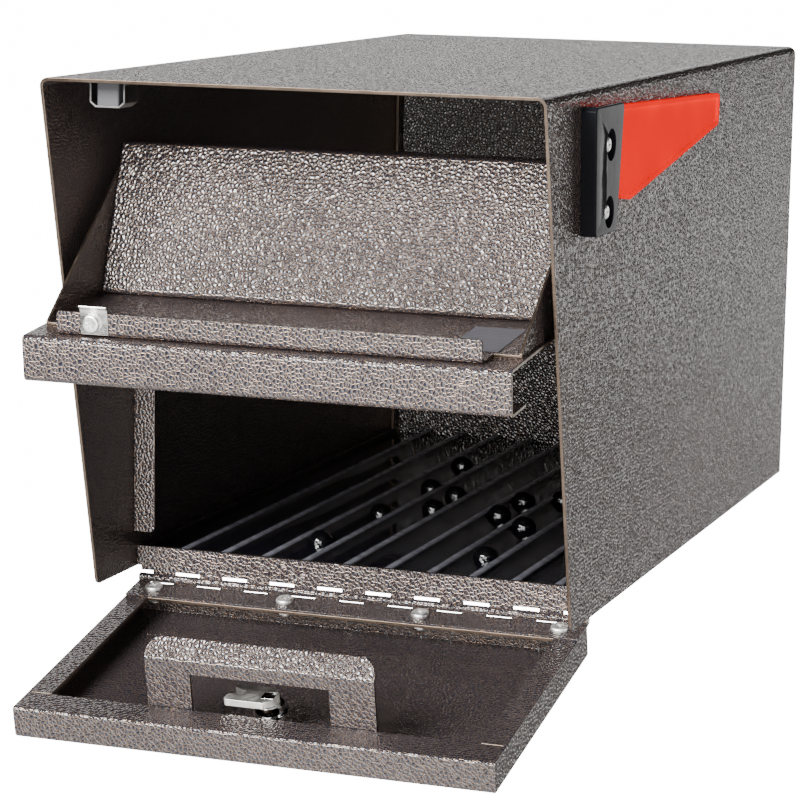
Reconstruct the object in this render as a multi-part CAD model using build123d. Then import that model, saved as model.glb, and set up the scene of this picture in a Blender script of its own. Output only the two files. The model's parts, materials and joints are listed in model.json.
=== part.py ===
"""Post-mounted locking parcel drop box: a hooded steel housing with a tip-out
hopper door above, a locking access door below, and a signal flag on the side.

Frame while modelling: X to the right, Y from the front edge of the roof to the
back, Z up from the underside of the base. Everything is moved by -mount_y when
it is written, so the finished origin is the centre of the base bolt pattern.
Both doors are modelled flat about their own hinge axis (y = minus the distance
from the axis, z = height over it) and are then tilted to their open positions.
"""
import os
from math import cos, radians, sin

from build123d import *

# ---------------------------------------------------------------- driving sizes
# housing
width = 273.0             # across the two side panels
height = 281.0            # side panels' lower edge to the top of the roof
depth = 547.0             # front edge of the roof to the back
rake = 67.0               # how far the side panels' lower corners stand back
sheet = 1.9               # main steel sheet
thin_sheet = 1.5          # lighter sheet of the inner tray
roof_radius = 5.0
corner_radius = 4.0
bend = 3.0                # outer radius of an ordinary bend
slip = 0.3                # gap between pieces that move past each other
run_fit = 0.05            # radial clearance of a running pin

# base and its bolts
mount_y = 313.0
mount_span_x = 100.0
mount_span_y = 254.0
mount_hole_r = 4.5
pan_flange = 10.0         # upturned edges of the floor pan
lip_height = 12.0         # front edge of the floor pan

# access door, hinged along its lower edge
door_axis_y = 115.5
door_axis_z = -5.5
door_tilt = 12.0          # how far it hangs below level when open
door_length = 162.5       # hinge axis to free edge
door_half = 131.5
door_thick = 17.0
door_heel = 2.8           # hinge axis to the wall beside it
door_front_return = 19.0
door_side_return = 13.5
leaf_reach = 20.5         # hinge axis to the edge of the door's leaf

# its piano hinge
barrel_r = 2.4
leaf_t = 1.2
pin_r = 1.15
knuckles = 18             # whole knuckles; one half knuckle more at the left end
knuckle_gap = 0.35
slot_height = 1.4         # open slot in a leaf beside each of the other leaf's knuckles
fixed_leaf_top = 17.5     # hinge axis to the upper edge of the fixed leaf
hinge_screw_x = (-118.5, -39.5, 39.5, 118.5)
hinge_screw_s = 10.5
screw_r = 2.5
screw_slack = 0.2
screw_head_r = 5.0
screw_head_h = 2.1
nut_flats = 8.0
nut_h = 3.6

# frame of the access opening
jamb_face = 12.6          # width of the jamb's front face
jamb_leg = 16.0
jamb_bottom = 20.7
opening_top = 143.0
seat_gap = 0.4            # closed door to jamb

# latch guard
guard_s = 143.2           # hinge axis to the guard's outer face
guard_half = 63.0
guard_window_half = 38.0
guard_window_top = 17.3
guard_bend_w = 25.0
guard_top_leg = 12.0
guard_lean = 35.0
guard_corner = 9.0
guard_foot = 9.0

# cam lock
lock_s = 131.0
lock_r = 8.0
lock_flange_r = 11.5
lock_flange_h = 2.4
lock_nut_flats = 22.0
lock_nut_h = 4.0
lock_ring_r = 9.3
lock_ring_h = 2.0
plug_r = 5.6
tang = 7.0                # square end of the plug
cam_w = 0.6               # underside of the cam over the door's hinge axis
cam_t = 3.6
cam_half = 9.0
cam_back = 4.5
cam_reach = 22.0
cam_prong = 7.0
cam_short = 14.0
keyway = (1.2, 6.5, 3.0)

# hopper door
hop_axis_y = 80.0
hop_axis_z = 162.0
hop_tilt = 6.1
hop_length = 111.0        # hinge axis to the outer face of the handle
hop_half = 131.5
handle_drop = 24.3
handle_lip = 22.5
hop_barrel_r = 1.9
hop_leaf_t = 1.0
hop_pin_r = 0.85
hop_leaf_reach = 16.0
hop_knuckles = 12
tray_half = 129.3         # outer faces of the tray's cheeks
tray_front = 87.0
tray_rear = 8.0
tongue_half = 114.6
tray_lip_s = 104.3
tray_lip_top = 13.5
baffle_s = 23.6
baffle_angle = 65.1       # from the tray floor, leaning back
baffle_height = 84.7
baffle_return = 16.0
baffle_return_angle = -5.0
baffle_foot = 11.0
cheek_apex = 70.0         # how far up the baffle the cheeks reach
cheek_gap = 0.3

# mail clip on the tray's lip
clip_x = -93.0
clip_width = 15.2
clip_t = 0.8
clip_low = 2.4
clip_flat_top = 13.4
clip_flare_r = 4.5
clip_flare = 55.0
clip_screw_x = -94.2
clip_screw_w = 8.4
clip_head_r = 5.0
clip_head_h = 2.6

# paper label on the tray floor
label_x = 102.5
label_width = 27.0
label_from = 38.0
label_to = 84.0
label_t = 0.25

# magnetic catch under the roof
catch_x = -104.7
catch_width = 20.0
catch_y = 15.0
catch_depth = 16.0
catch_drop = 13.6
catch_t = 1.0
catch_ear = 7.0
catch_cut = (3.2, 2.6)    # how far its lower corners are cut back, across and up
magnet_width = 12.4
magnet_gap = 0.8

# floor mat
mat_ridges = 10
mat_pitch = 24.5
mat_bend = 3.0
mat_low = 5.5             # underside of the mat between its ridges
mat_t = 1.5
mat_rise = 4.5
mat_side_gap = 0.6
mat_end_gap = 2.0
plug_stand = 2.0          # round base of a plug over the mat's low parts
plug_head_r = 7.0
plug_head_h = 5.4
mat_plugs = (
    (45.0, 273.0), (21.0, 300.0), (22.0, 345.0), (43.0, 359.0),
)                         # half of the pattern, besides the ones over the base bolts

# signal flag and its bracket on the right side panel
flag_pivot = (88.5, 252.0)
flag_lower_screw = (88.0, 217.5)
flag_hub_r = 19.0
flag_boss_r = 9.8         # round boss of the bracket that the flag turns on
flag_thick = 3.7
flag_web = 2.2            # thickness inside the raised rim
flag_rim = 2.4
flag_outline = ((92.0, 271.0), (330.0, 264.0), (329.0, 246.0), (141.0, 219.0), (126.0, 221.0), (92.0, 233.4))
bracket_out = 8.1         # how far the bracket stands off the panel
bracket_cover = 1.9
bracket_front = 3.0
bracket_top = 272.5
bracket_low = 206.5
bracket_block_top = 227.0
bracket_ends = ((60.0, 112.0), (64.0, 103.0))    # front and rear edges, at the top and at the bottom
flag_recess_r = 8.25
flag_recess_depth = 3.4
flag_screw_head_r = 4.0
flag_screw_head_h = 2.5
flag_screw_r = 2.0

# ------------------------------------------------------------- derived places
inner_half = width / 2 - sheet
roof_under = height - sheet
door_top_w = -barrel_r                      # the plane that the door's leaf lies on
door_floor_w = door_top_w - door_thick + sheet
jamb_y = door_axis_y + door_top_w + seat_gap
floor_front = door_axis_y + barrel_r        # front face of the floor pan's lip
panel_low = hop_leaf_t - hop_barrel_r       # underside of the hopper's outer panel
panel_top = panel_low + sheet
tray_top = panel_top + thin_sheet
shelf_top = hop_axis_z - hop_barrel_r
shelf_front = hop_axis_y + hop_barrel_r + slip


# ------------------------------------------------------------- shared shapes
def ribbon(points, thick, radius):
    """Face of a bent strip: a line of points, thickened to its left, or to its right if thick < 0."""
    line = FilletPolyline(*points, radius=radius)
    side = Side.LEFT if thick > 0 else Side.RIGHT
    return Face(Wire(line.edges()).offset_2d(abs(thick), kind=Kind.INTERSECTION, side=side, closed=True))


def bent_x(points, thick, radius, x_from, x_to):
    """Sheet bent along a line of (y, z) points and running along X."""
    return extrude(Plane.YZ.offset(x_from) * ribbon(points, thick, radius), x_to - x_from, dir=(1, 0, 0))


def bent_y(points, thick, radius, y_from, y_to):
    """Sheet bent along a line of (x, z) points and running along Y."""
    return extrude(Plane.XZ.offset(-y_from) * ribbon(points, thick, radius), y_to - y_from, dir=(0, 1, 0))


def block(x, y, z):
    """Box from its (low, high) limits on each axis."""
    size = (x[1] - x[0], y[1] - y[0], z[1] - z[0])
    middle = ((x[0] + x[1]) / 2, (y[0] + y[1]) / 2, (z[0] + z[1]) / 2)
    return Pos(*middle) * Box(*size)


def rod_x(radius, x_from, x_to, y=0.0, z=0.0):
    return Pos((x_from + x_to) / 2, y, z) * Rot(0, 90, 0) * Cylinder(radius, x_to - x_from)


def rod_z(radius, z_from, z_to, x=0.0, y=0.0):
    return Pos(x, y, (z_from + z_to) / 2) * Cylinder(radius, z_to - z_from)


def rod_y(radius, y_from, y_to, x=0.0, z=0.0):
    return Pos(x, (y_from + y_to) / 2, z) * Rot(90, 0, 0) * Cylinder(radius, y_to - y_from)


def prism_x(points, x_from, x_to):
    """Solid between two x planes with a (y, z) outline."""
    return extrude(Plane.YZ.offset(x_from) * make_face(Polyline(*points, close=True)), amount=x_to - x_from)


def hexagon_z(flats, z_from, z_to, x=0.0, y=0.0):
    profile = RegularPolygon(flats / 2, 6, major_radius=False)
    return Pos(x, y, z_from) * extrude(profile, amount=z_to - z_from)


def knuckle_spans(half, whole, start):
    """Spans of every second knuckle along a hinge that starts with a half one."""
    pitch = 2 * half / (whole + 0.5)
    edges = [-half] + [-half + pitch * (index + 0.5) for index in range(whole + 1)]
    spans = list(zip(edges[:-1], edges[1:]))
    return spans[start::2], spans[1 - start::2]


def hinge_leaf(half, whole, start, radius, thick, pin, reach):
    """Leaf that lies on z = -radius and runs to y = -reach, with its knuckles."""
    own, other = knuckle_spans(half, whole, start)
    leaf = block((-half, half), (-reach, 0), (-radius, thick - radius))
    for low, high in own:
        leaf += rod_x(radius, low, high)
    notch = radius + slot_height
    for low, high in other:
        leaf -= block((low - knuckle_gap, high + knuckle_gap), (-notch, radius + 1), (-radius - 1, radius + 1))
    return leaf - rod_x(pin + run_fit, -half - 1, half + 1)


def pan_head(radius, tall, shank_r, shank):
    """Cross-recess pan head standing on z = 0, with its shank below."""
    head = rod_z(radius, 0, tall)
    head = fillet(head.edges().group_by(Axis.Z)[-1], tall * 0.62)
    arm = radius * 0.9
    for turn in (0, 90):
        head -= Rot(0, 0, turn) * block((-arm / 2, arm / 2), (-radius / 9, radius / 9), (tall * 0.45, tall + 1))
    return head + rod_z(shank_r, -shank, 0)


def in_door(shape):
    """Door's own frame to the open door."""
    return Pos(0, door_axis_y, door_axis_z) * Rot(door_tilt, 0, 0) * shape


def in_hopper(shape):
    return Pos(0, hop_axis_y, hop_axis_z) * Rot(hop_tilt, 0, 0) * shape


# ------------------------------------------------------------------ housing
def housing_shell():
    """Roof and both side panels, one sheet bent over at the roof's long edges."""
    half = width / 2
    arch = ((half, 0), (half, height), (-half, height), (-half, 0))
    shell = bent_y(arch, sheet, roof_radius, 0, depth)
    shell -= prism_x(((-1, height), (0, height), (rake, 0), (rake, -1), (-1, -1)), -width, width)
    toes = [e for e in shell.edges().filter_by(Axis.X)
            if abs(e.center().Y - rake) < 1 and abs(e.center().Z) < 1]
    shell = fillet(toes, corner_radius)
    for y, z in (flag_pivot, flag_lower_screw):
        shell -= rod_x(flag_screw_r + screw_slack, inner_half - 1, half + 1, y, z)
    return shell


def back_panel():
    """Flanged plate that closes the back, set between roof, sides and floor pan."""
    low = sheet
    flange = pan_flange + 2
    pan = block((-inner_half, inner_half), (depth - flange, depth), (low, roof_under))
    pan = fillet(pan.edges().filter_by(Axis.Y).group_by(Axis.Z)[-1], roof_radius - sheet)
    inside = (-inner_half + sheet, inner_half - sheet)
    pan -= block(inside, (depth - flange - 1, depth - sheet), (low - 1, roof_under - sheet))
    return pan - block((-inner_half - 1, inner_half + 1), (depth - flange - 1, depth - sheet), (low - 1, pan_flange + slip))


def floor_pan():
    """Base: flat floor with a front lip and low upturned sides, drilled for the post bolts."""
    pan = block((-inner_half, inner_half), (floor_front, depth), (0, sheet))
    pan += block((-inner_half, inner_half), (floor_front, floor_front + sheet), (0, lip_height))
    for side in (-1, 1):
        low, high = sorted((side * inner_half, side * (inner_half - sheet)))
        pan += block((low, high), (floor_front, depth - sheet), (0, pan_flange))
    heel = [e for e in pan.edges().filter_by(Axis.X)
            if abs(e.center().Y - floor_front) < 0.1 and abs(e.center().Z) < 0.1]
    pan = fillet(heel, bend * 0.6)
    for x in (-mount_span_x / 2, mount_span_x / 2):
        for y in (mount_y - mount_span_y / 2, mount_y + mount_span_y / 2):
            pan -= rod_z(mount_hole_r, -1, sheet + 1, x, y)
    return pan


def jamb(side):
    """Angle beside the access opening: a face that the door closes on, and a leg on the side panel."""
    wall = side * inner_half
    face_x = sorted((wall, wall - side * jamb_face))
    leg_x = sorted((wall, wall - side * sheet))
    piece = block(face_x, (jamb_y, jamb_y + sheet), (jamb_bottom, opening_top))
    toe = [e for e in piece.edges().filter_by(Axis.Y)
           if abs(e.center().X - (wall - side * jamb_face)) < 0.1 and e.center().Z < jamb_bottom + 0.1]
    piece = fillet(toe, 3.0)
    return piece + block(leg_x, (jamb_y, jamb_y + jamb_leg), (jamb_bottom, opening_top))


def crossbar():
    """Bar between the two openings: face above the access door, and a shelf for the hopper's hinge."""
    back = jamb_y + sheet
    line = ((shelf_front, shelf_top), (back, shelf_top), (back, opening_top))
    bar = bent_x(line, -sheet, bend, -inner_half, inner_half)
    for side in (-1, 1):
        low, high = sorted((side * inner_half, side * (inner_half - sheet)))
        bar += block((low, high), (back - sheet, back + jamb_leg), (opening_top, shelf_top - bend))
    return bar


# ------------------------------------------------------------ lower hinge
def hinge_fixed_leaf():
    leaf = hinge_leaf(door_half, knuckles, 1, barrel_r, leaf_t, pin_r, fixed_leaf_top)
    return Pos(0, door_axis_y, door_axis_z) * Rot(-90, 0, 0) * mirror(leaf, Plane.XY)


def hinge_pin():
    return rod_x(pin_r, -door_half, door_half, door_axis_y, door_axis_z)


def hinge_door_leaf():
    leaf = hinge_leaf(door_half, knuckles, 0, barrel_r, leaf_t, pin_r, leaf_reach)
    for x in hinge_screw_x:
        leaf -= rod_z(screw_r + screw_slack, -barrel_r - 1, barrel_r, x, -hinge_screw_s)
    return in_door(leaf)


# ------------------------------------------------------------- access door
def door_pan():
    """Shallow pan: outer skin, four walls and flanges turned in along every edge."""
    top, low = door_top_w, door_top_w - door_thick
    outer = block((-door_half, door_half), (-door_length, -door_heel), (low, top))
    inner = block((-door_half + sheet, door_half - sheet), (-door_length + sheet, -door_heel - sheet),
                  (low + sheet, top - sheet))
    mouth = block((-door_half + door_side_return, door_half - door_side_return),
                  (-door_length + door_front_return, -leaf_reach), (low + sheet, top + 1))
    outer = fillet([e for e in outer.edges() if e.center().Z < low + 0.1
                    or (abs(e.center().Y + door_length) < 0.1 and e.center().Z > top - 0.1)], 1.6)
    pan = outer - inner - mouth
    seam = 0.5
    cut_y = -door_length + door_front_return
    for side in (-1, 1):
        x = sorted((side * (door_half - sheet), side * (door_half - door_side_return)))
        pan -= block(x, (cut_y - seam / 2, cut_y + seam / 2), (top - sheet - 0.1, top + 1))
    for x in hinge_screw_x:
        pan -= rod_z(screw_r + screw_slack, top - sheet - 1, top + 1, x, -hinge_screw_s)
    pan -= rod_z(lock_r + screw_slack, low - 1, low + sheet + 1, 0, -lock_s)
    return in_door(pan)


def hinge_screws():
    seat = door_top_w + leaf_t
    length = leaf_t + sheet + nut_h + 1.5
    screw = pan_head(screw_head_r, screw_head_h, screw_r, length)
    return in_door(Compound(children=[Pos(x, -hinge_screw_s, seat) * Rot(0, 0, 40) * screw for x in hinge_screw_x]))


def hinge_nuts():
    top = door_top_w - sheet
    nuts = []
    for x in hinge_screw_x:
        nut = hexagon_z(nut_flats, top - nut_h, top) - rod_z(screw_r, top - nut_h - 1, top + 1)
        nuts.append(Pos(x, -hinge_screw_s, 0) * nut)
    return in_door(Compound(children=nuts))


def latch_guard():
    """Hoop that stands over the lock cam, its top bent back towards the hinge."""
    lean = radians(guard_lean)
    tip = (-guard_s + guard_top_leg * sin(lean), guard_bend_w + guard_top_leg * cos(lean))
    base = (-guard_s, door_floor_w)
    hoop = bent_x((tip, (-guard_s, guard_bend_w), base), sheet, bend, -guard_half, guard_half)
    foot_y = (-guard_s, -guard_s + sheet + guard_foot)
    hoop += block((-guard_half, guard_half), foot_y, (door_floor_w, door_floor_w + sheet))
    hoop -= block((-guard_window_half, guard_window_half), (-guard_s - 1, foot_y[1] + 1),
                  (door_floor_w - 1, guard_window_top))
    reach = guard_top_leg * cos(lean) + guard_bend_w
    for side in (-1, 1):
        x = side * guard_half
        corner = block(sorted((x, x - side * guard_corner)), (-guard_s - 1, tip[0] + sheet + 1),
                       (reach - guard_corner, reach + sheet))
        corner -= rod_y(guard_corner, -guard_s - 2, tip[0] + sheet + 2, x - side * guard_corner,
                        reach - guard_corner)
        hoop -= corner
    return in_door(hoop)


def lock_barrel():
    """Threaded barrel of the cam lock, with its flange on the outside of the door."""
    outside = door_top_w - door_thick
    barrel = rod_z(lock_flange_r, outside - lock_flange_h, outside, 0, -lock_s)
    barrel = fillet(barrel.edges().group_by(Axis.Z)[0], lock_flange_h * 0.6)
    barrel += rod_z(lock_r, outside, cam_w - slip, 0, -lock_s)
    return in_door(barrel - rod_z(plug_r + run_fit, outside - lock_flange_h - 1, cam_w, 0, -lock_s))


def lock_nut():
    low = door_floor_w
    nut = hexagon_z(lock_nut_flats, low, low + lock_nut_h, 0, -lock_s)
    return in_door(nut - rod_z(lock_r, low - 1, low + lock_nut_h + 1, 0, -lock_s))


def lock_ring():
    """Spring ring in the barrel's upper groove."""
    low = door_top_w - 4.2
    ring = rod_z(lock_ring_r, low, low + lock_ring_h, 0, -lock_s)
    return in_door(ring - rod_z(lock_r, low - 1, low + lock_ring_h + 1, 0, -lock_s))


def lock_plug():
    """Turning core: key slot outside, square tang through the cam."""
    face = door_top_w - door_thick - lock_flange_h
    plug = rod_z(plug_r, face, cam_w - run_fit, 0, -lock_s)
    plug += Pos(0, -lock_s, 0) * block((-tang / 2, tang / 2), (-tang / 2, tang / 2), (cam_w - 1, cam_w + cam_t))
    slot_w, slot_l, slot_d = keyway
    plug -= Pos(0, -lock_s, face) * block((-slot_w / 2, slot_w / 2), (-slot_l / 2, slot_l / 2), (-1, slot_d))
    return in_door(plug)


def lock_cam():
    """Hooked cam: at rest its prongs point along the door, locked they point past its free edge."""
    body = Pos(cam_back, 0) * Rectangle(cam_short + cam_back, 2 * cam_half, align=(Align.MAX, Align.CENTER))
    round_end = fillet(body.vertices().group_by(Axis.X)[-1], cam_half * 0.85)
    prong = Pos(-cam_reach, -cam_half) * Rectangle(cam_reach, cam_prong, align=(Align.MIN, Align.MIN))
    prong = fillet(prong.vertices().group_by(Axis.X)[0], cam_prong * 0.3)
    spur = make_face(Polyline((-cam_short, cam_half), (-cam_short - 7, cam_half - 0.5),
                              (-cam_short - 6.4, cam_half - 4.2), (-cam_short, cam_half - 6.5), close=True))
    plate = extrude(round_end + prong + spur, amount=cam_t)
    plate -= block((-tang / 2, tang / 2), (-tang / 2, tang / 2), (-1, cam_t + 1))
    return in_door(Pos(0, -lock_s, cam_w) * plate)


# ------------------------------------------------------------- hopper door
def hopper_hinge_fixed_leaf():
    leaf = hinge_leaf(hop_half, hop_knuckles, 1, hop_barrel_r, hop_leaf_t, hop_pin_r, hop_leaf_reach)
    return Pos(0, hop_axis_y, hop_axis_z) * mirror(leaf, Plane.XZ)


def hopper_hinge_moving_leaf():
    return in_hopper(hinge_leaf(hop_half, hop_knuckles, 0, hop_barrel_r, hop_leaf_t, hop_pin_r, hop_leaf_reach))


def hopper_hinge_pin():
    return rod_x(hop_pin_r, -hop_half, hop_half, hop_axis_y, hop_axis_z)


def hopper_panel():
    """Outer panel of the hopper; its free edge is bent out and under into the handle."""
    rear = -hop_barrel_r - 2 * slip
    low = panel_top - handle_drop
    line = ((rear, panel_top), (-hop_length, panel_top), (-hop_length, low), (-hop_length + handle_lip, low))
    panel = bent_x(line, sheet, bend, -hop_half, hop_half)
    return in_hopper(panel)


def hopper_tray():
    """Tray that holds the mail: floor, front lip on a tongue, and two triangular cheeks."""
    line = ((-tray_rear, panel_top), (-tray_lip_s, panel_top), (-tray_lip_s, tray_lip_top))
    tray = bent_x(line, -thin_sheet, bend, -tray_half, tray_half)
    corner_x = (tongue_half, tray_half + 1)
    for side in (-1, 1):
        x = sorted((side * corner_x[0], side * corner_x[1]))
        tray -= block(x, (-tray_lip_s - 1, -tray_front), (panel_top - 1, tray_lip_top + 1))
    lip_corner = [e for e in tray.edges().filter_by(Axis.Y) if e.center().Z > tray_lip_top - 0.1]
    tray = fillet(lip_corner, 2.5)
    angle = radians(baffle_angle)
    back = thin_sheet / sin(angle)
    foot = -baffle_s + back + cheek_gap
    rise = cheek_apex * sin(angle)
    run = cheek_apex * cos(angle)
    apex = (foot + run - 2, panel_top + rise)
    outline = ((-tray_front, panel_top), (-tray_front, tray_top + 0.6), apex,
               (apex[0] + 2, apex[1]), (foot, panel_top))
    for side in (-1, 1):
        x = sorted((side * tray_half, side * (tray_half - thin_sheet)))
        tray += prism_x(outline, *x)
    return in_hopper(tray)


def baffle():
    """Plate behind the tray that blocks the way in while the hopper is open."""
    angle = radians(baffle_angle)
    turn = radians(baffle_return_angle)
    foot = (-baffle_s, tray_top)
    knee = (foot[0] + baffle_height * cos(angle), foot[1] + baffle_height * sin(angle))
    tip = (knee[0] + baffle_return * cos(turn), knee[1] + baffle_return * sin(turn))
    heel = (foot[0] + baffle_foot, tray_top)
    half = tray_half - thin_sheet - cheek_gap
    plate = bent_x((heel, foot, knee, tip), -thin_sheet, bend, -half, half)
    return in_hopper(plate)


def mail_clip():
    """Sprung strip on the tray's lip that holds outgoing letters."""
    face = -tray_lip_s
    low, high = clip_x - clip_width / 2, clip_x + clip_width / 2
    clip = block((low, high), (face - clip_t, face), (clip_low, clip_flat_top))
    centre = (face - clip_t - clip_flare_r, clip_flat_top)
    arc_out = CenterArc(centre, clip_flare_r + clip_t, 0, clip_flare)
    arc_in = CenterArc(centre, clip_flare_r, 0, clip_flare)
    ends = (Line(arc_out @ 0, arc_in @ 0), Line(arc_out @ 1, arc_in @ 1))
    clip += extrude(Plane.YZ.offset(low) * make_face([arc_out, arc_in, *ends]), amount=high - low)
    clip -= rod_y(screw_r + screw_slack, face - 5, face + 1, clip_screw_x, clip_screw_w)
    return in_hopper(clip)


def lip_drilled(tray):
    hole = rod_y(screw_r + screw_slack, -tray_lip_s - 1, -tray_lip_s + thin_sheet + 1, clip_screw_x, clip_screw_w)
    return tray - in_hopper(hole)


def clip_screw():
    screw = pan_head(clip_head_r, clip_head_h, screw_r, clip_t + thin_sheet + nut_h + 1)
    return in_hopper(Pos(clip_screw_x, -tray_lip_s - clip_t, clip_screw_w) * Rot(90, 0, 0) * Rot(0, 0, 20) * screw)


def clip_nut():
    nut = hexagon_z(nut_flats, 0, nut_h) - rod_z(screw_r, -1, nut_h + 1)
    return in_hopper(Pos(clip_screw_x, -tray_lip_s + thin_sheet, clip_screw_w) * Rot(-90, 0, 0) * nut)


def tray_label():
    x = (label_x - label_width / 2, label_x + label_width / 2)
    return in_hopper(block(x, (-label_to, -label_from), (tray_top, tray_top + label_t)))


# ---------------------------------------------------------- magnetic catch
def catch_bracket():
    """Strap bent into a U under the roof, with an ear on each side."""
    half = catch_width / 2
    top, low = roof_under, roof_under - catch_drop
    across, rise = catch_cut
    line = ((-half - catch_ear, top - catch_t), (-half, top - catch_t), (-half, low + rise), (across - half, low),
            (half - across, low), (half, low + rise), (half, top - catch_t), (half + catch_ear, top - catch_t))
    return Pos(catch_x, 0, 0) * bent_y(line, catch_t, 1.2, catch_y, catch_y + catch_depth)


def catch_magnet():
    x = (catch_x - magnet_width / 2, catch_x + magnet_width / 2)
    y = (catch_y + magnet_gap, catch_y + catch_depth - magnet_gap)
    magnet = block(x, y, (roof_under - catch_drop + catch_t, roof_under))
    return chamfer(magnet.edges().filter_by(Axis.Z), 0.6)


# ---------------------------------------------------------------- floor mat
def plug_places():
    """Plugs over the base bolts, and the loose pattern between them on both sides."""
    places = [(side * mount_span_x / 2, mount_y + end * mount_span_y / 2) for side in (-1, 1) for end in (-1, 1)]
    return places + [(side * x, y) for side in (-1, 1) for x, y in mat_plugs]


def floor_mat():
    """Formed plastic mat: wide hollows between narrow ridges from front to back, on turned-down edges."""
    half = inner_half - sheet - mat_side_gap - mat_t
    shoulder, high = mat_low + mat_rise * 0.3, mat_low + mat_rise
    points = [(-half, sheet), (-half, mat_low)]
    for index in range(mat_ridges):
        crest = (index - (mat_ridges - 1) / 2) * mat_pitch
        points += [(crest - mat_pitch * 0.3, mat_low), (crest - mat_pitch * 0.14, shoulder), (crest, high)]
        points += [(crest + mat_pitch * 0.14, shoulder), (crest + mat_pitch * 0.3, mat_low)]
    points += [(half, mat_low), (half, sheet)]
    front, back = floor_front + sheet + mat_end_gap, depth - sheet - mat_end_gap
    mat = bent_y(points, mat_t, mat_bend, front, back)
    for x, y in plug_places():
        mat -= rod_z(plug_head_r + slip, sheet - 1, high + mat_t + 1, x, y)
    return mat


def mat_plug_group():
    """Domed plastic plugs that stand through the mat on the floor pan."""
    top = mat_low + mat_t + plug_stand
    radius = (plug_head_r ** 2 + plug_head_h ** 2) / (2 * plug_head_h)
    dome = Pos(0, 0, top + plug_head_h - radius) * Sphere(radius)
    plug = rod_z(plug_head_r, sheet, top) + (dome & rod_z(plug_head_r, top - 0.5, top + plug_head_h + 1))
    plug -= rod_z(plug_head_r - mat_t, sheet - 1, top)
    return Compound(children=[Pos(x, y, 0) * plug for x, y in plug_places()])


# -------------------------------------------------------------- signal flag
def flag_bracket():
    """Moulded bracket: cover, front wall, foot and a round boss that the flag's root turns on."""
    base, out = width / 2, width / 2 + bracket_out
    (front_top, rear_top), (front_low, rear_low) = bracket_ends
    outline = ((front_top, bracket_top), (rear_top, bracket_top), (rear_low, bracket_low), (front_low, bracket_low))
    body = prism_x(outline, base, out)
    body = fillet(body.edges().filter_by(Axis.X), 3.0)
    body = fillet([e for e in body.edges() if e.center().X > out - 0.1], 0.9)
    inside = (base - 1, out - bracket_cover)
    hollow = block(inside, (front_low + bracket_front, rear_top + 1), (bracket_block_top, bracket_top + 1))
    body -= hollow - rod_x(flag_boss_r, *inside, *flag_pivot)
    for y, z in (flag_pivot, flag_lower_screw):
        body -= rod_x(flag_recess_r, out - flag_recess_depth, out + 1, y, z)
        body -= rod_x(flag_screw_r + screw_slack, base - 1, out, y, z)
    return body


def flag_screw_group():
    seat = width / 2 + bracket_out - flag_recess_depth
    length = seat - inner_half + nut_h
    screw = Rot(0, 90, 0) * pan_head(flag_screw_head_r, flag_screw_head_h, flag_screw_r, length)
    return Compound(children=[Pos(seat, y, z) * screw for y, z in (flag_pivot, flag_lower_screw)])


def flag_nut_group():
    nut = hexagon_z(nut_flats - 1, 0, nut_h - 0.6) - rod_z(flag_screw_r, -1, nut_h)
    places = (flag_pivot, flag_lower_screw)
    return Compound(children=[Pos(inner_half, y, z) * Rot(0, -90, 0) * nut for y, z in places])


def flag_blade():
    """Tapered blade with a raised rim, and a round root that turns on the bracket's boss."""
    base = width / 2 + slip * 2
    face = make_face(Polyline(*flag_outline, close=True))
    face = fillet(face.vertices().sort_by(Axis.X)[-2:], 4.0)
    face += Pos(*flag_pivot) * Circle(flag_hub_r)
    recess = offset(face, amount=-flag_rim) - Pos(*flag_pivot) * Circle(flag_boss_r + flag_rim)
    blade = extrude(Plane.YZ.offset(base) * face, amount=flag_thick)
    blade -= extrude(Plane.YZ.offset(base + flag_web) * recess, amount=flag_thick)
    return blade - rod_x(flag_boss_r + run_fit, base - 1, base + flag_thick + 1, *flag_pivot)


# --------------------------------------------------------------- write parts
nodes = {
    "housing_shell": housing_shell(),
    "back_panel": back_panel(),
    "floor_pan": floor_pan(),
    "left_jamb": jamb(-1),
    "right_jamb": jamb(1),
    "crossbar": crossbar(),
    "hinge_fixed_leaf": hinge_fixed_leaf(),
    "hinge_pin": hinge_pin(),
    "hopper_hinge_fixed_leaf": hopper_hinge_fixed_leaf(),
    "hopper_hinge_pin": hopper_hinge_pin(),
    "floor_mat": floor_mat(),
    "mat_plugs": mat_plug_group(),
    "catch_bracket": catch_bracket(),
    "catch_magnet": catch_magnet(),
    "flag_bracket": flag_bracket(),
    "flag_screws": flag_screw_group(),
    "flag_nuts": flag_nut_group(),
    "door_pan": door_pan(),
    "hinge_door_leaf": hinge_door_leaf(),
    "hinge_screws": hinge_screws(),
    "hinge_nuts": hinge_nuts(),
    "latch_guard": latch_guard(),
    "lock_barrel": lock_barrel(),
    "lock_nut": lock_nut(),
    "lock_ring": lock_ring(),
    "lock_plug": lock_plug(),
    "lock_cam": lock_cam(),
    "hopper_panel": hopper_panel(),
    "hopper_tray": lip_drilled(hopper_tray()),
    "hopper_hinge_moving_leaf": hopper_hinge_moving_leaf(),
    "baffle": baffle(),
    "mail_clip": mail_clip(),
    "clip_screw": clip_screw(),
    "clip_nut": clip_nut(),
    "tray_label": tray_label(),
    "flag_blade": flag_blade(),
}

os.makedirs("parts", exist_ok=True)
for name, shape in nodes.items():
    export_step(Pos(0, -mount_y, 0) * shape, f"parts/{name}.step")
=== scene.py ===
# %% [markdown]
# # A parcel drop box
# A folded steel box for a post, with a tip-out hopper above, a locking door below and a signal
# flag on its side. The CAD model gives every piece its place and size. This lesson adds what a
# CAD model has not got: edges softened by paint, and the finish of every piece.
# Everything is in metres, with the origin at the middle of the base bolts, +Y towards the back.

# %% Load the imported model
import json
import math

import bmesh
import bpy
from mathutils import Matrix, Vector


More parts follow.
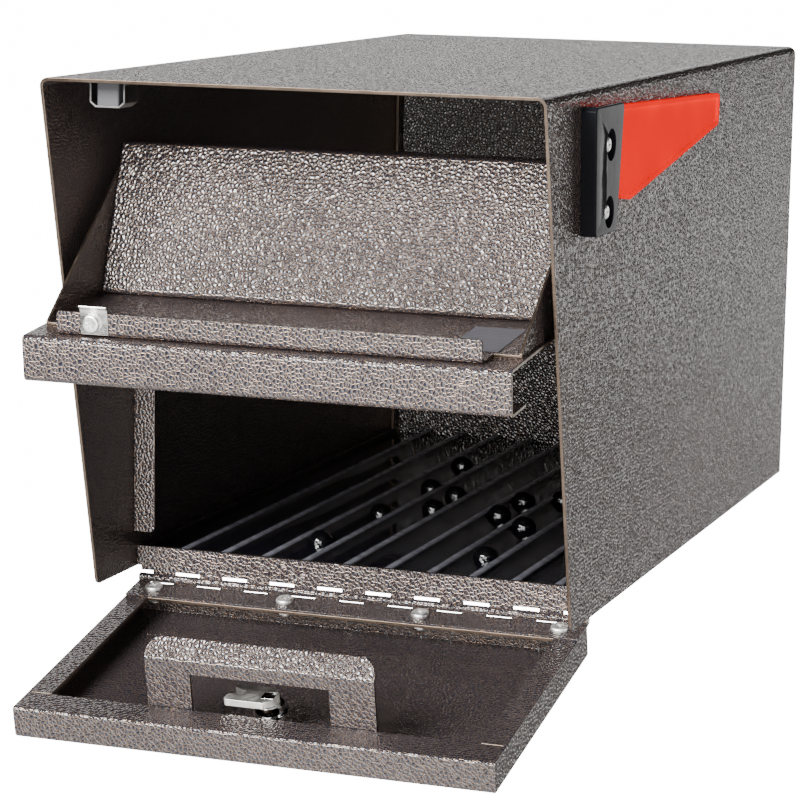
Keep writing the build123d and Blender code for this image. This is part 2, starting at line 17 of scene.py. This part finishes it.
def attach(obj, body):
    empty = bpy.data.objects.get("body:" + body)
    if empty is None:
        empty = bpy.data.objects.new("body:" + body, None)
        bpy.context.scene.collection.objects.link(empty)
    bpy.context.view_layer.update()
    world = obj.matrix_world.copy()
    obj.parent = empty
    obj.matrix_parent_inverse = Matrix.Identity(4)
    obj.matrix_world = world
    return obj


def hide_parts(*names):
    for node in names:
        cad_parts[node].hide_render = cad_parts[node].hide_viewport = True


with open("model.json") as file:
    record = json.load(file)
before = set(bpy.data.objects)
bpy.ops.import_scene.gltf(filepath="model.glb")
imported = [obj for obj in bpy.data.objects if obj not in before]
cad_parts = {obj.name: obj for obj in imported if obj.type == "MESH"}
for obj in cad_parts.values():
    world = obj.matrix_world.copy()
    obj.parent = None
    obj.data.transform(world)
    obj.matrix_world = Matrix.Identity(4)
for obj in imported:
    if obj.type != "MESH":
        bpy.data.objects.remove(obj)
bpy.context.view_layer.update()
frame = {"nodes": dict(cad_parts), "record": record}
MM = 0.001

# %% [markdown]
# ## Shader helpers
# Materials are node trees. Writing them out by hand is long, so one helper adds a node with its
# settings, and gives each input a value or joins it to another node. The rest are the few small
# steps that every finish is built from: sums, ranges, blends, noise and bumps.


# %% Helpers that add and join nodes
def add(tree, kind, inputs=None, **settings):
    node = tree.nodes.new("ShaderNode" + kind)
    for name, value in settings.items():
        setattr(node, name, value)
    for key, value in (inputs or {}).items():
        if isinstance(value, bpy.types.NodeSocket):
            tree.links.new(value, node.inputs[key])
        else:
            node.inputs[key].default_value = value
    return node


def math_node(tree, operation, a, b=0.0, c=0.0):
    return add(tree, "Math", {0: a, 1: b, 2: c}, operation=operation).outputs[0]


def vector_node(tree, operation, inputs):
    return add(tree, "VectorMath", inputs, operation=operation).outputs[0]


def ramp(tree, value, low, high, to_low=0.0, to_high=1.0, smooth=True):
    """Value between low and high, stretched to a new range."""
    inputs = {"Value": value, "From Min": low, "From Max": high, "To Min": to_low, "To Max": to_high}
    kind = "SMOOTHSTEP" if smooth else "LINEAR"
    return add(tree, "MapRange", inputs, interpolation_type=kind).outputs["Result"]


def blend_colour(tree, share, a, b):
    """Colour a where share is 0, and b where it is 1."""
    return add(tree, "Mix", {0: share, 6: a, 7: b}, data_type="RGBA").outputs[2]


print("node helpers ready")

# %% [markdown]
# A noise texture's values crowd around a half, and nearly all lie between 0.3 and 0.7. Stretching
# that range gives a shade that wanders evenly from one value to another.

# %% Helpers for noise, shade and bumps
NOISE_LOW, NOISE_HIGH = 0.3, 0.7


def noise(tree, place, scale, detail=1.0):
    return add(tree, "TexNoise", {"Vector": place, "Scale": scale, "Detail": detail}).outputs["Fac"]


def wandering(tree, value, low, high):
    """A noise value stretched to run from low to high."""
    return ramp(tree, value, NOISE_LOW, NOISE_HIGH, low, high)


def shaded(tree, colour, shade):
    """Colour made darker or lighter by a value around 1."""
    return vector_node(tree, "SCALE", {0: colour, 3: shade})


def bumped(tree, height, depth):
    """Normal of a surface whose height, from 0 to 1, stands depth metres high."""
    return add(tree, "Bump", {"Strength": 1.0, "Distance": depth, "Height": height}).outputs[0]


print("noise from", NOISE_LOW, "to", NOISE_HIGH)

# %% [markdown]
# A finish that several materials share is a node group: a pattern that takes its colours and
# sizes as inputs. A material then holds the group, its own amounts and one shader.


# %% Helpers for groups and materials
def group(name, inputs, outputs):
    """Shader node group, with its sockets given as name: kind, and its two end nodes."""
    tree = bpy.data.node_groups.new(name, "ShaderNodeTree")
    for side, sockets in (("INPUT", inputs), ("OUTPUT", outputs)):
        for label, kind in sockets.items():
            tree.interface.new_socket(label, in_out=side, socket_type="NodeSocket" + kind)
    return tree, tree.nodes.new("NodeGroupInput"), tree.nodes.new("NodeGroupOutput")


def give(tree, out, **results):
    """Join each result to the group output of its name."""
    for label, socket in results.items():
        tree.links.new(socket, out.inputs[label])


def material(name, **principled):
    """New material: its tree, its Principled shader and its Object coordinates."""
    made = bpy.data.materials.new(name)
    made.use_nodes = True
    tree = made.node_tree
    shader = tree.nodes["Principled BSDF"]
    for key, value in principled.items():
        shader.inputs[key.replace("_", " ")].default_value = value
    place = tree.nodes.new("ShaderNodeTexCoord").outputs["Object"]
    return made, tree, shader, place


def wear(tree, shader, pattern, inputs):
    """Add a pattern to a material and join all that it gives to the shader."""
    worn = add(tree, "Group", inputs, node_tree=pattern)
    for given in worn.outputs:
        tree.links.new(given, shader.inputs["Base Color" if given.name == "Colour" else given.name])


print("group and material helpers ready")

# %% [markdown]
# ## The hammered coat
# The steel is powder coated in a hammered bronze. As the powder melts it pulls itself into small
# smooth islands of dark slate, two or three millimetres across, and a tan metallic paint shows in
# the thin veins between them. A solid Voronoi texture would leave wide veins wherever a sheet runs
# along a cell's wall, so the pattern is flat: two coordinates are picked by the way a face looks,
# and a flat Voronoi texture draws it. The distance to a cell's edge gives the vein and the dome.


# %% Group that lays coordinates flat on a face
def flat_group():
    tree, given, out = group("flat on the face", {"Vector": "Vector", "Facing": "Vector"}, {"Flat": "Vector"})
    x, y, z = add(tree, "SeparateXYZ", {0: given.outputs["Vector"]}).outputs
    turned = vector_node(tree, "ABSOLUTE", {0: given.outputs["Facing"]})
    to_x, to_y, to_z = add(tree, "SeparateXYZ", {0: turned}).outputs
    to_side = math_node(tree, "GREATER_THAN", to_x, math_node(tree, "MAXIMUM", to_y, to_z))
    to_top = math_node(tree, "GREATER_THAN", to_z, math_node(tree, "MAXIMUM", to_x, to_y))
    across = math_node(tree, "MULTIPLY_ADD", to_side, math_node(tree, "SUBTRACT", y, x), x)
    along = math_node(tree, "MULTIPLY_ADD", to_top, math_node(tree, "SUBTRACT", y, z), z)
    give(tree, out, Flat=add(tree, "CombineXYZ", {0: across, 1: along}).outputs[0])
    return tree


FLAT = flat_group()
print("made", FLAT.name)

# %% [markdown]
# The cells are pushed about a little before they are drawn, so that no vein is straight. A fine
# flake and a slow drift keep two neighbouring islands from being the same.

# %% Group for the hammered pattern
WARP_SCALE, WARP = 300.0, 0.0014
FLAKE_SCALE, FLAKE_HEIGHT, DRIFT_SCALE = 2600.0, 0.03, 14.0
VEIN_CORE, CELL_MIDDLE, DOME_POWER = 0.02, 0.5, 0.65
VEIN_ROUGHNESS, ISLAND_ROUGHNESS = 0.27, 0.14
VEIN_METAL, ISLAND_METAL = 0.92, 0.05
FLAKE_SHADE, DRIFT_SHADE = (0.82, 1.18), (0.9, 1.1)


def hammered_group():
    tree, given, out = group(
        "hammered pattern",
        {"Vector": "Vector", "Flat": "Vector", "Cells per metre": "Float", "Vein width": "Float",
         "Island": "Color", "Vein": "Color", "Depth": "Float"},
        {"Colour": "Color", "Roughness": "Float", "Metallic": "Float", "Normal": "Vector"})
    place, flat, cells, vein_width, island_colour, vein_colour, depth = given.outputs[:7]
    push = add(tree, "TexNoise", {"Vector": flat, "Scale": WARP_SCALE, "Detail": 1.0}).outputs["Color"]
    centred = vector_node(tree, "SUBTRACT", {0: push, 1: (0.5,) * 3})
    pushed = vector_node(tree, "MULTIPLY_ADD", {0: centred, 1: (WARP,) * 3, 2: flat})
    edge = add(tree, "TexVoronoi", {"Vector": pushed, "Scale": cells, "Randomness": 1.0},
               feature="DISTANCE_TO_EDGE", voronoi_dimensions="2D").outputs["Distance"]
    island = ramp(tree, edge, VEIN_CORE, vein_width)
    flake = noise(tree, place, FLAKE_SCALE)
    drift = noise(tree, place, DRIFT_SCALE, 2.0)
    shade = math_node(tree, "MULTIPLY", wandering(tree, flake, *FLAKE_SHADE),
                      wandering(tree, drift, *DRIFT_SHADE))
    dome = math_node(tree, "POWER", ramp(tree, edge, 0.0, CELL_MIDDLE, smooth=False), DOME_POWER)
    height = math_node(tree, "MULTIPLY_ADD", flake, FLAKE_HEIGHT, dome)
    give(tree, out,
         Colour=shaded(tree, blend_colour(tree, island, vein_colour, island_colour), shade),
         Roughness=ramp(tree, island, 0.0, 1.0, VEIN_ROUGHNESS, ISLAND_ROUGHNESS),
         Metallic=ramp(tree, island, 0.0, 1.0, VEIN_METAL, ISLAND_METAL),
         Normal=bumped(tree, height, depth))
    return tree


HAMMERED = hammered_group()
print("made", HAMMERED.name)


# %% The hammered bronze coat
def hammered(name, island, vein, cells, vein_width, depth):
    made, tree, shader, place = material(name, IOR=1.75)
    facing = tree.nodes["Texture Coordinate"].outputs["Normal"]
    flat = add(tree, "Group", {"Vector": place, "Facing": facing}, node_tree=FLAT)
    wear(tree, shader, HAMMERED, {
        "Vector": place, "Flat": flat.outputs["Flat"], "Cells per metre": cells, "Vein width": vein_width,
        "Island": (*island, 1), "Vein": (*vein, 1), "Depth": depth})
    return made


bronze_coat = hammered("hammered bronze coat", island=(0.012, 0.012, 0.018), vein=(0.24, 0.16, 0.108),
                       cells=470.0, vein_width=0.13, depth=0.28 * MM)
print("made", bronze_coat.name)

# %% [markdown]
# ## Bare metal
# Screws, nuts, pins, cam and clip are bare or plated. Plating is never quite even: it has a slow
# cloudiness and a fine grain from rolling or tumbling. One group makes both, and each metal uses
# its own amounts. A grain stretched along one direction reads as brushed. The cut edges of the
# coated sheets share it too, because the coat is thin and metallic there.

# %% Group for plated metal
PLATE_CLOUD, PLATE_SHADE = 120.0, (0.82, 1.08)
GRAIN_SHARE, PLATE_RANGE = 0.5, (0.35, 0.65)


def plated_group():
    tree, given, out = group(
        "plated metal",
        {"Vector": "Vector", "Base": "Color", "Grain": "Vector", "Smooth": "Float", "Rough": "Float",
         "Depth": "Float"},
        {"Colour": "Color", "Roughness": "Float", "Normal": "Vector"})
    place, base, stretch, smooth, rough, depth = given.outputs[:6]
    grain = noise(tree, vector_node(tree, "MULTIPLY", {0: place, 1: stretch}), 1.0, 3.0)
    cloud = noise(tree, place, PLATE_CLOUD, 3.0)
    clouded = math_node(tree, "MULTIPLY", cloud, 1.0 - GRAIN_SHARE)
    both = math_node(tree, "MULTIPLY_ADD", grain, GRAIN_SHARE, clouded)
    give(tree, out,
         Colour=shaded(tree, base, wandering(tree, cloud, *PLATE_SHADE)),
         Roughness=ramp(tree, both, *PLATE_RANGE, smooth, rough),
         Normal=bumped(tree, grain, depth))
    return tree


PLATED = plated_group()
print("made", PLATED.name)

# %% Plated metals
EVEN_GRAIN, EDGE_GRAIN, BRUSHED = (900.0,) * 3, (700.0,) * 3, (260.0, 260.0, 2200.0)


def plated(name, base, smooth, rough, grain=EVEN_GRAIN, depth=0.03 * MM):
    made, tree, shader, place = material(name, Metallic=1.0)
    wear(tree, shader, PLATED, {"Vector": place, "Base": (*base, 1), "Grain": grain, "Smooth": smooth,
                                "Rough": rough, "Depth": depth})
    return made


zinc = plated("bright zinc", (0.90, 0.90, 0.88), smooth=0.3, rough=0.5)
bronze_edge = plated("coated edge", (0.15, 0.112, 0.085), smooth=0.30, rough=0.5, grain=EDGE_GRAIN,
                     depth=0.06 * MM)
chrome = plated("polished chrome", (0.78, 0.78, 0.78), smooth=0.04, rough=0.12, depth=0.01 * MM)
cam_steel = plated("nickel plated cam", (0.95, 0.92, 0.87), smooth=0.38, rough=0.55)
spring_steel = plated("brushed spring steel", (0.70, 0.69, 0.66), smooth=0.2, rough=0.42, grain=BRUSHED)
dark_steel = plated("dull steel strap", (0.16, 0.155, 0.15), smooth=0.3, rough=0.5)
print("made plated metals")

# %% [markdown]
# ## Plastics, ceramic and paper
# The mat, its plugs and the flag's bracket are glossy black plastic with a slight orange peel.
# The flag is a moulded signal orange, with a faint painted glow that makes it brighter. The
# magnet is a grey ceramic block, and the label is grey paper.

# %% Group for moulded plastic, ceramic and paper
FINE_PEEL, FINE_HEIGHT = 3200.0, 0.06
MOULD_CLOUD, MOULD_SHADE, MOULD_RANGE = 26.0, (0.9, 1.1), (0.35, 0.7)


def moulded_group():
    tree, given, out = group(
        "moulded surface",
        {"Vector": "Vector", "Base": "Color", "Peel": "Float", "Smooth": "Float", "Rough": "Float",
         "Depth": "Float"},
        {"Colour": "Color", "Roughness": "Float", "Normal": "Vector"})
    place, base, peel_scale, smooth, rough, depth = given.outputs[:6]
    peel = noise(tree, place, peel_scale, 2.0)
    fine = noise(tree, place, FINE_PEEL)
    cloud = noise(tree, place, MOULD_CLOUD, 4.0)
    height = math_node(tree, "MULTIPLY_ADD", fine, FINE_HEIGHT, peel)
    give(tree, out,
         Colour=shaded(tree, base, wandering(tree, cloud, *MOULD_SHADE)),
         Roughness=ramp(tree, cloud, *MOULD_RANGE, smooth, rough),
         Normal=bumped(tree, height, depth))
    return tree


MOULDED = moulded_group()
print("made", MOULDED.name)


# %% Plastics, ceramic and paper
def moulded(name, base, peel, smooth, rough, depth=0.08 * MM, **principled):
    made, tree, shader, place = material(name, **principled)
    wear(tree, shader, MOULDED, {"Vector": place, "Base": (*base, 1), "Peel": peel, "Smooth": smooth,
                                 "Rough": rough, "Depth": depth})
    return made


mat_black = moulded("glossy black mat", (0.004, 0.004, 0.007), peel=90.0, smooth=0.03, rough=0.10,
                    depth=0.06 * MM, IOR=1.4)
plug_black = moulded("clear black plug", (0.003, 0.003, 0.004), peel=60.0, smooth=0.02, rough=0.05,
                     depth=0.01 * MM, IOR=1.7)
bracket_black = moulded("glossy black bracket", (0.008, 0.008, 0.010), peel=180.0, smooth=0.08, rough=0.2,
                        IOR=1.08, Specular_IOR_Level=0.4)
# The flag's emission is a painted glow that brightens its orange; the flag is no lamp.
flag_orange_painted_glow = moulded("signal orange plastic with painted glow", (0.88, 0.005, 0.001), peel=240.0, smooth=0.55, rough=0.7,
                      IOR=1.03, Specular_IOR_Level=0.1, Emission_Color=(1.0, 0.004, 0.001, 1),
                      Emission_Strength=0.43)
ceramic = moulded("grey ceramic magnet", (0.05, 0.05, 0.055), peel=900.0, smooth=0.5, rough=0.7)
paper = moulded("plain grey label", (0.07, 0.07, 0.082), peel=1500.0, smooth=0.5, rough=0.7,
                depth=0.03 * MM)
print("made plastics, ceramic and paper")

# %% [markdown]
# Two of these need a little more. The tops of the mat's ridges get a soft grey painted highlight,
# which a ramp on height finds. The label carries faint ruled lines and no words.


# %% Helper that blends a colour into a finish
def mixed_into(finish, share, colour):
    """Blend a colour into a finished material where share is high."""
    tree = finish.node_tree
    socket = tree.nodes["Principled BSDF"].inputs["Base Color"]
    before = socket.links[0].from_socket
    tree.links.new(blend_colour(tree, share, before, (*colour, 1)), socket)


def tree_and_place(finish):
    """A finished material's tree and its Object coordinates."""
    return finish.node_tree, finish.node_tree.nodes["Texture Coordinate"].outputs["Object"]


print("finishes can take a second colour")

# %% Painted highlight on the mat's ridges, and ruled lines
RIDGE_FROM, RIDGE_TO = 9.2 * MM, 10.3 * MM
CREST_GRAIN_SCALE, CREST_HIGHLIGHT_SHARE, CREST_HIGHLIGHT_GREY = 160.0, (0.6, 1.0), (0.20, 0.20, 0.235)
RULED_LINES, LINE_RANGE = 110.0, (0.55, 0.8)
INK_SHARE, INK = 0.9, (0.02, 0.02, 0.025)

# The grey blended into the ridge tops is a painted highlight, broken up by a grain.
mat_tree, mat_place = tree_and_place(mat_black)
mat_height = add(mat_tree, "SeparateXYZ", {0: mat_place}).outputs[2]
crest_grain = noise(mat_tree, mat_place, CREST_GRAIN_SCALE, 3.0)
highlighted = math_node(mat_tree, "MULTIPLY", ramp(mat_tree, mat_height, RIDGE_FROM, RIDGE_TO),
                    wandering(mat_tree, crest_grain, *CREST_HIGHLIGHT_SHARE))
mixed_into(mat_black, highlighted, CREST_HIGHLIGHT_GREY)

paper_tree, paper_place = tree_and_place(paper)
lines = add(paper_tree, "TexWave", {"Vector": paper_place, "Scale": RULED_LINES, "Distortion": 0.0},
            bands_direction="Y").outputs["Fac"]
mixed_into(paper, ramp(paper_tree, lines, *LINE_RANGE, 0.0, INK_SHARE), INK)
print("scuffed the mat and ruled the label")

# %% [markdown]
# ## Softened edges
# Powder coat flows over a folded edge and leaves it round, and that thin rounded edge catches the
# light all along the sheet. A CAD edge is perfectly sharp and catches none. So each piece is shown
# by a copy of its CAD mesh: doubles are merged, flat triangles are dissolved into whole faces, and
# a Bevel modifier rounds what is left. Powder pulls away from a sheet's cut edge, which is too
# narrow for islands, so those faces get the plain edge coat. Twice a long strip's area divided
# by its perimeter is nearly its width, and that tells a cut edge from the face of a sheet.

# %% Helper that finds cut edges
CUT_EDGE_WIDTH = 1.95 * MM  # just over the main sheet, which is 1.9 mm thick
SQUARE_CORNER = 1.0  # radians, well under a right angle and well over a fold's facets


def is_cut_edge(face):
    """Whether a face is the narrow cut edge of a sheet, with square corners along its length."""
    if 2 * face.calc_area() / face.calc_perimeter() > CUT_EDGE_WIDTH:
        return False
    longest = max(edge.calc_length() for edge in face.edges)
    along = [edge for edge in face.edges if edge.calc_length() > longest / 2]
    return all(edge.is_manifold and edge.calc_face_angle() > SQUARE_CORNER for edge in along)


print("cut edges are up to", round(CUT_EDGE_WIDTH / MM, 2), "mm wide")

# %% Helper that softens a copy of a CAD node
BODY_OF = {node: body for body, nodes in frame["record"]["behaviour"]["bodies"].items() for node in nodes}
MERGE, FLAT_WITHIN = 0.002 * MM, math.radians(0.5)
SMOOTH_BELOW, BEVEL_ABOVE, BEVEL_STEPS = math.radians(35.0), math.radians(30.0), 2


def softened(node, width, finish, edge_finish=None):
    """Copy of a CAD node with its edges rounded by width, and its cut edges in a finish of their own."""
    bm = bmesh.new()
    bm.from_mesh(frame["nodes"][node].data)
    bmesh.ops.remove_doubles(bm, verts=bm.verts, dist=MERGE)
    bmesh.ops.dissolve_limit(bm, angle_limit=FLAT_WITHIN, verts=bm.verts, edges=bm.edges, delimit={"NORMAL"})
    if edge_finish:
        for face in bm.faces:
            face.material_index = int(is_cut_edge(face))
    mesh = bpy.data.meshes.new(node + "_soft")
    bm.to_mesh(mesh)
    bm.free()
    for polygon in mesh.polygons:
        polygon.use_smooth = True
    mesh.set_sharp_from_angle(angle=SMOOTH_BELOW)
    mesh.materials.append(finish)
    if edge_finish:
        mesh.materials.append(edge_finish)
    piece = bpy.data.objects.new(node + "_soft", mesh)
    bpy.context.scene.collection.objects.link(piece)
    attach(piece, BODY_OF[node])
    bevel = piece.modifiers.new("soft edges", "BEVEL")
    bevel.width = width
    bevel.segments = BEVEL_STEPS
    bevel.limit_method = "ANGLE"
    bevel.angle_limit = BEVEL_ABOVE
    bevel.use_clamp_overlap = False
    bevel.harden_normals = True
    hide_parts(node)


print("bodies and slots known for", len(BODY_OF), "nodes")

# %% Coated sheets
COATED = ("housing_shell", "back_panel", "floor_pan", "left_jamb", "right_jamb", "crossbar", "door_pan",
          "latch_guard", "hopper_panel", "hopper_tray", "baffle")
COAT_ROUND = 0.4 * MM
for name in COATED:
    softened(name, COAT_ROUND, bronze_coat, bronze_edge)
print("softened", len(COATED), "coated sheets")

# %% [markdown]
# ## Small pieces
# The small hardware is softened by much less than the sheets, and takes its metal, plastic or
# paper whole. The hinge leaves are coated with the sheets that they are fixed to.

# %% Finishes for the small pieces
SMALL_ROUND = 0.15 * MM
FINISHES = {
    "hinge_fixed_leaf": bronze_coat, "hopper_hinge_fixed_leaf": bronze_coat,
    "hopper_hinge_moving_leaf": bronze_coat, "hinge_door_leaf": bronze_coat, "hinge_pin": zinc,
    "hopper_hinge_pin": zinc, "hinge_screws": zinc, "hinge_nuts": zinc, "flag_screws": zinc,
    "flag_nuts": zinc, "catch_bracket": dark_steel, "catch_magnet": ceramic, "clip_screw": zinc,
    "clip_nut": zinc, "mail_clip": spring_steel, "lock_barrel": chrome, "lock_nut": zinc,
    "lock_ring": chrome, "lock_plug": chrome, "lock_cam": cam_steel, "floor_mat": mat_black,
    "mat_plugs": plug_black, "flag_bracket": bracket_black, "flag_blade": flag_orange_painted_glow,
    "tray_label": paper,
}
for name, finish in FINISHES.items():
    softened(name, SMALL_ROUND, finish)
print("finished", len(FINISHES), "small pieces")

# %% [markdown]
# ## Stage
# The box stands on a post at working height, so the pale floor is far below it. The camera sees
# floor and world as bright as paper, but they light the box only a little, so that the soft boxes
# give it its highlights.

# %% Floor
FLOOR_Z, FLOOR_HALF = -1.1, 60.0
AMBIENT, BACKDROP = 0.045, 16.0
WHITE, FLOOR_GREY = (1, 1, 1, 1), (0.7, 0.7, 0.7, 1)
bm = bmesh.new()
bmesh.ops.create_grid(bm, x_segments=1, y_segments=1, size=FLOOR_HALF)
bmesh.ops.translate(bm, verts=bm.verts, vec=(0, 0, FLOOR_Z))
floor_mesh = bpy.data.meshes.new("floor")
bm.to_mesh(floor_mesh)
bm.free()
floor = bpy.data.objects.new("floor", floor_mesh)
bpy.context.scene.collection.objects.link(floor)
floor_paint, floor_tree, floor_shader = material("pale floor", Roughness=0.9, Base_Color=FLOOR_GREY,
                                                 Emission_Color=WHITE)[:3]
floor_seen = add(floor_tree, "LightPath").outputs["Is Camera Ray"]
floor_glow = math_node(floor_tree, "MULTIPLY", floor_seen, BACKDROP)
floor_tree.links.new(floor_glow, floor_shader.inputs["Emission Strength"])
floor_mesh.materials.append(floor_paint)
print("floor at", FLOOR_Z)

# %% World
world = bpy.data.worlds.new("soft white")
bpy.context.scene.world = world
world.use_nodes = True
sky_tree = world.node_tree
sky = sky_tree.nodes["Background"]
sky.inputs["Color"].default_value = WHITE
sky_seen = add(sky_tree, "LightPath").outputs["Is Camera Ray"]
sky_light = ramp(sky_tree, sky_seen, 0.0, 1.0, AMBIENT, BACKDROP, smooth=False)
sky_tree.links.new(sky_light, sky.inputs["Strength"])
print("world lights by", AMBIENT, "and shows as", BACKDROP)

# %% [markdown]
# ## Lights
# Large soft boxes, as for a catalogue, all aimed at the middle of the box. The strongest hangs in
# front, to the left and above, where the leaning baffle mirrors it. Two weaker ones, beside the
# camera and low in front, reach the doors and the open inside. One lies over the roof, one stands
# to the right for the flag side, and two behind keep the back from going black.

# %% Soft boxes
BOX_MIDDLE = Vector((0.0, -0.05, 0.14))
SOFT_BOXES = {
    "camera side box": ((0.25, -2.6, 0.3), (1.7, 1.0), 34.0),
    "low front box": ((0.45, -2.1, -0.5), (2.2, 1.0), 32.0),
    "front left box": ((-0.68, -1.95, 1.14), (1.2, 0.9), 185.0),
    "overhead box": ((0.1, 0.1, 1.7), (1.4, 1.4), 9.0),
    "right box": ((1.9, -0.3, 0.3), (1.0, 1.2), 16.0),
    "back left box": ((-1.5, 3.4, 0.9), (2.4, 0.8), 12.5),
    "back right box": ((1.5, 3.6, -0.2), (1.8, 1.5), 20.0),
}


def soft_box(name, place, size, power):
    lamp = bpy.data.lights.new(name, "AREA")
    lamp.shape = "RECTANGLE"
    lamp.size, lamp.size_y = size
    lamp.energy = power
    stand = bpy.data.objects.new(name, lamp)
    stand.location = place
    stand.rotation_mode = "QUATERNION"
    stand.rotation_quaternion = (BOX_MIDDLE - Vector(place)).to_track_quat("-Z", "Y")
    stand.visible_camera = False
    bpy.context.scene.collection.objects.link(stand)


for name, (place, size, power) in SOFT_BOXES.items():
    soft_box(name, place, size, power)
print(len(SOFT_BOXES), "soft boxes")

# %% [markdown]
# ## Camera
# A long lens a little above the box and to its right, so both doors and the flag side show. It is
# turned to the left, dropped a little, and rolled by about a degree.

# %% Camera
CAMERA_PLACE = Vector((0.5747, -1.7365, 0.3842))
CAMERA_TURN, CAMERA_DROP, CAMERA_ROLL = (math.radians(v) for v in (19.747, 9.639, 0.939))
LENS, SENSOR = 138.02, 36.0
forward = Vector((-math.sin(CAMERA_TURN) * math.cos(CAMERA_DROP),
                  math.cos(CAMERA_TURN) * math.cos(CAMERA_DROP),
                  -math.sin(CAMERA_DROP)))
level = Vector((math.cos(CAMERA_TURN), math.sin(CAMERA_TURN), 0.0))
upright = level.cross(forward)
right = math.cos(CAMERA_ROLL) * level + math.sin(CAMERA_ROLL) * upright
up = -math.sin(CAMERA_ROLL) * level + math.cos(CAMERA_ROLL) * upright
camera_data = bpy.data.cameras.new("camera")
camera_data.lens, camera_data.sensor_width = LENS, SENSOR
camera = bpy.data.objects.new("camera", camera_data)
camera.matrix_world = Matrix((
    (right.x, up.x, -forward.x, CAMERA_PLACE.x),
    (right.y, up.y, -forward.y, CAMERA_PLACE.y),
    (right.z, up.z, -forward.z, CAMERA_PLACE.z),
    (0, 0, 0, 1)))
bpy.context.scene.collection.objects.link(camera)
bpy.context.scene.camera = camera
print("camera", [round(v, 3) for v in CAMERA_PLACE], "lens", LENS)
